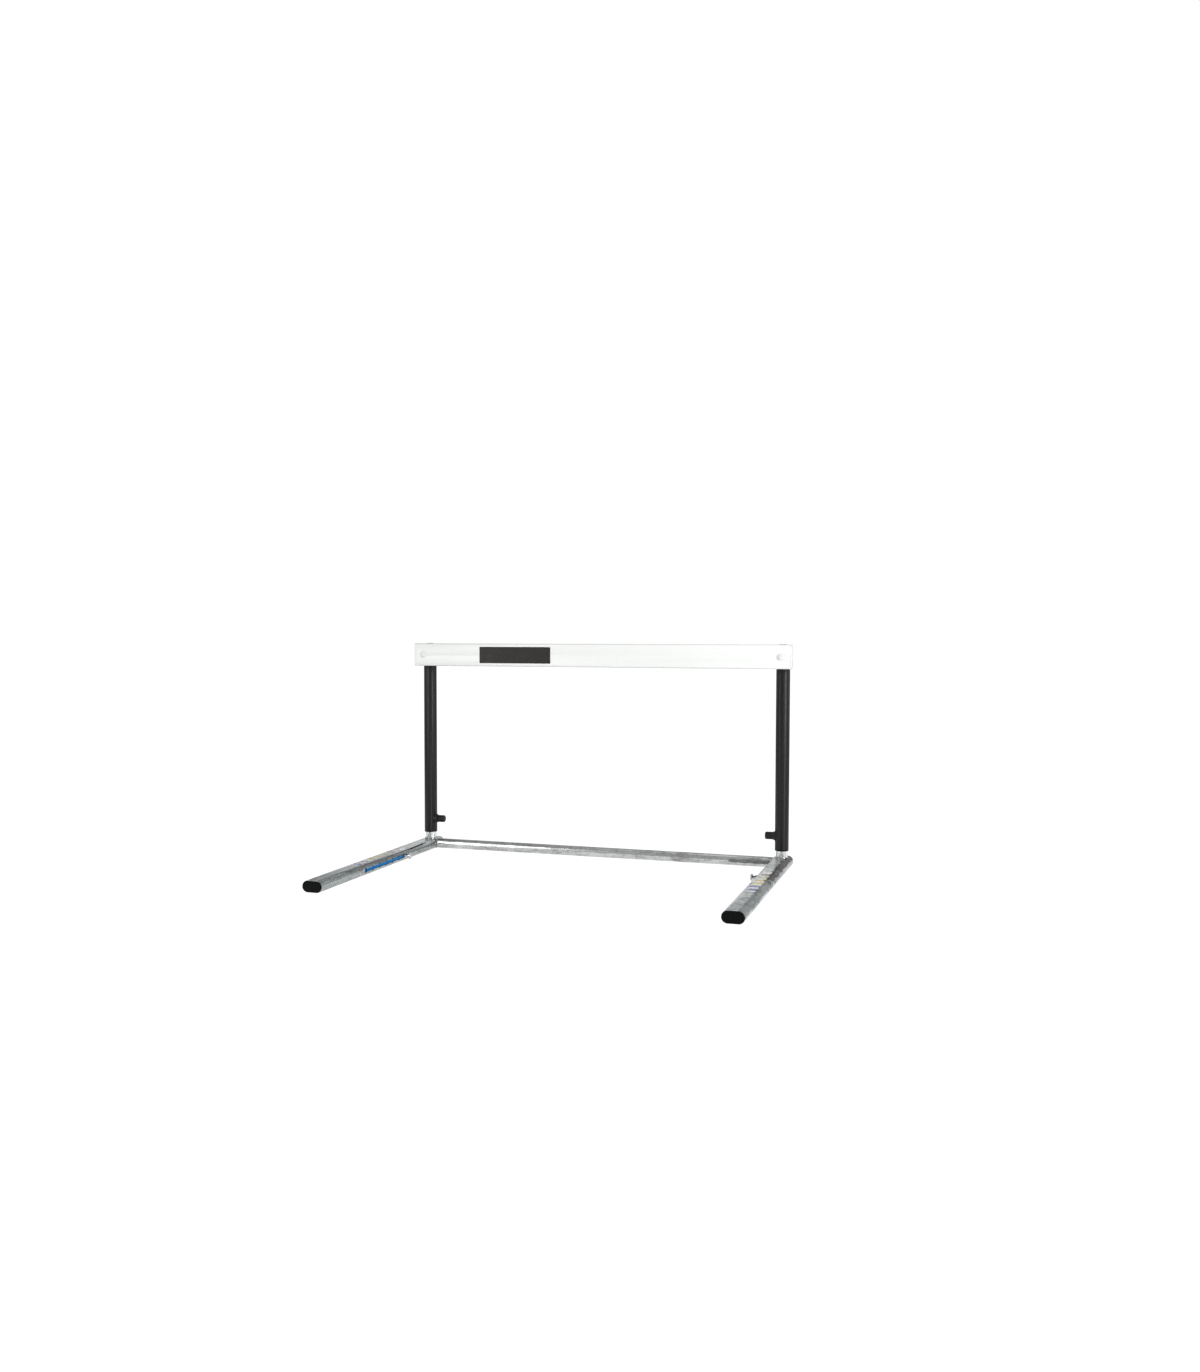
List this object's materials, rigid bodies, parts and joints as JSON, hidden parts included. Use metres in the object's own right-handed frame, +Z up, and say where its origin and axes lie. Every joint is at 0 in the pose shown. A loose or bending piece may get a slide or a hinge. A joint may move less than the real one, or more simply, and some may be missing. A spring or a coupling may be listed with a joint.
{
  "type": "track hurdle",
  "caption": "Height-adjustable track hurdle: white bar on telescopic black uprights, galvanised L-shaped base with flat-oval feet and sliding counterweights.",
  "frame": {"origin": "on the ground, in the middle of the bounding box", "axes": "+X along the bar towards its right end as seen from the feet's front tips, +Y from the tips towards the posts at the rear, +Z up"},
  "size_m": [1.18, 0.762, 0.6508],
  "materials": {
    "galvanised_steel": "hot-dip galvanised, matte grey with mottling",
    "black_paint": "satin powder coat",
    "black_plastic": "moulded, lightly textured",
    "white_pvc": "smooth extruded, semi-gloss",
    "white_paint": "satin",
    "zinc_plate": "bright zinc",
    "spring_steel": "drawn wire",
    "brass_bush": "turned",
    "blue_paint": "satin",
    "label_vinyl": "matte printed film, left blank",
    "tape_1": "semi-gloss film",
    "tape_2": "semi-gloss film",
    "tape_3": "semi-gloss film",
    "tape_4": "semi-gloss film",
    "tape_5": "semi-gloss film",
    "tape_6": "semi-gloss film",
    "tape_7": "semi-gloss film"
  },
  "bodies": {
    "base": {"cross_tube": "galvanised_steel", "foot_tube_left": "galvanised_steel", "foot_tube_right": "galvanised_steel", "foot_front_cap_left": "black_plastic", "foot_front_cap_right": "black_plastic", "foot_rear_cap_left": "black_plastic", "foot_rear_cap_right": "black_plastic", "post_tube_left": "galvanised_steel", "post_tube_right": "galvanised_steel", "post_guide_plug_left": "black_plastic", "post_guide_plug_right": "black_plastic", "height_stripe_left_1": "tape_1", "height_stripe_left_2": "tape_2", "height_stripe_left_3": "tape_3", "height_stripe_left_4": "tape_4", "height_stripe_left_5": "tape_5", "height_stripe_left_6": "tape_6", "height_stripe_left_7": "tape_7", "height_stripe_right_1": "tape_1", "height_stripe_right_2": "tape_2", "height_stripe_right_3": "tape_3", "height_stripe_right_4": "tape_4", "height_stripe_right_5": "tape_5", "height_stripe_right_6": "tape_6", "height_stripe_right_7": "tape_7"},
    "upper_frame": {"bar_profile": "white_pvc", "bar_label": "label_vinyl", "bar_end_cap_left": "white_pvc", "bar_end_cap_right": "white_pvc", "sleeve_tube_left": "black_paint", "sleeve_tube_right": "black_paint", "sleeve_cap_left": "black_plastic", "sleeve_cap_right": "black_plastic", "sleeve_bush_left": "black_plastic", "sleeve_bush_right": "black_plastic", "bar_saddle_left": "black_plastic", "bar_saddle_right": "black_plastic", "bar_bolt_left": "white_paint", "bar_bolt_right": "white_paint", "bar_nut_left": "zinc_plate", "bar_nut_right": "zinc_plate", "plunger_housing_left": "black_paint", "plunger_housing_right": "black_paint", "plunger_spring_left": "spring_steel", "plunger_spring_right": "spring_steel"},
    "plunger_left": {"plunger_pin_left": "zinc_plate", "plunger_knob_left": "black_plastic"},
    "weight_left": {"counterweight_left": "blue_paint", "stud_bush_left": "brass_bush", "stud_spring_left": "spring_steel"},
    "stud_left": {"weight_stud_left": "zinc_plate", "stud_nut_left": "zinc_plate"},
    "plunger_right": {"plunger_pin_right": "zinc_plate", "plunger_knob_right": "black_plastic"},
    "weight_right": {"counterweight_right": "blue_paint", "stud_bush_right": "brass_bush", "stud_spring_right": "spring_steel"},
    "stud_right": {"weight_stud_right": "zinc_plate", "stud_nut_right": "zinc_plate"}
  },
  "joints": [
    {"name": "height_slide", "type": "slide", "parent": "base", "child": "upper_frame", "axis": [0, 0, 1], "range_m": [0, 0.417]},
    {"name": "plunger_pull_left", "type": "slide", "parent": "upper_frame", "child": "plunger_left", "axis": [1, 0, 0], "range_m": [0, 0.007], "stiffness_N_per_m": 900, "springref_m": -0.006, "deforming": ["plunger_spring_left"]},
    {"name": "plunger_pull_right", "type": "slide", "parent": "upper_frame", "child": "plunger_right", "axis": [-1, 0, 0], "range_m": [0, 0.007], "stiffness_N_per_m": 900, "springref_m": -0.006, "deforming": ["plunger_spring_right"]},
    {"name": "weight_slide_left", "type": "slide", "parent": "base", "child": "weight_left", "axis": [0, -1, 0], "range_m": [0, 0.2415]},
    {"name": "stud_pull_left", "type": "slide", "parent": "weight_left", "child": "stud_left", "axis": [1, 0, 0], "range_m": [0, 0.007], "stiffness_N_per_m": 900, "springref_m": -0.006, "deforming": ["stud_spring_left"]},
    {"name": "weight_slide_right", "type": "slide", "parent": "base", "child": "weight_right", "axis": [0, -1, 0], "range_m": [0, 0.2415]},
    {"name": "stud_pull_right", "type": "slide", "parent": "weight_right", "child": "stud_right", "axis": [-1, 0, 0], "range_m": [0, 0.007], "stiffness_N_per_m": 900, "springref_m": -0.006, "deforming": ["stud_spring_right"]}
  ]
}
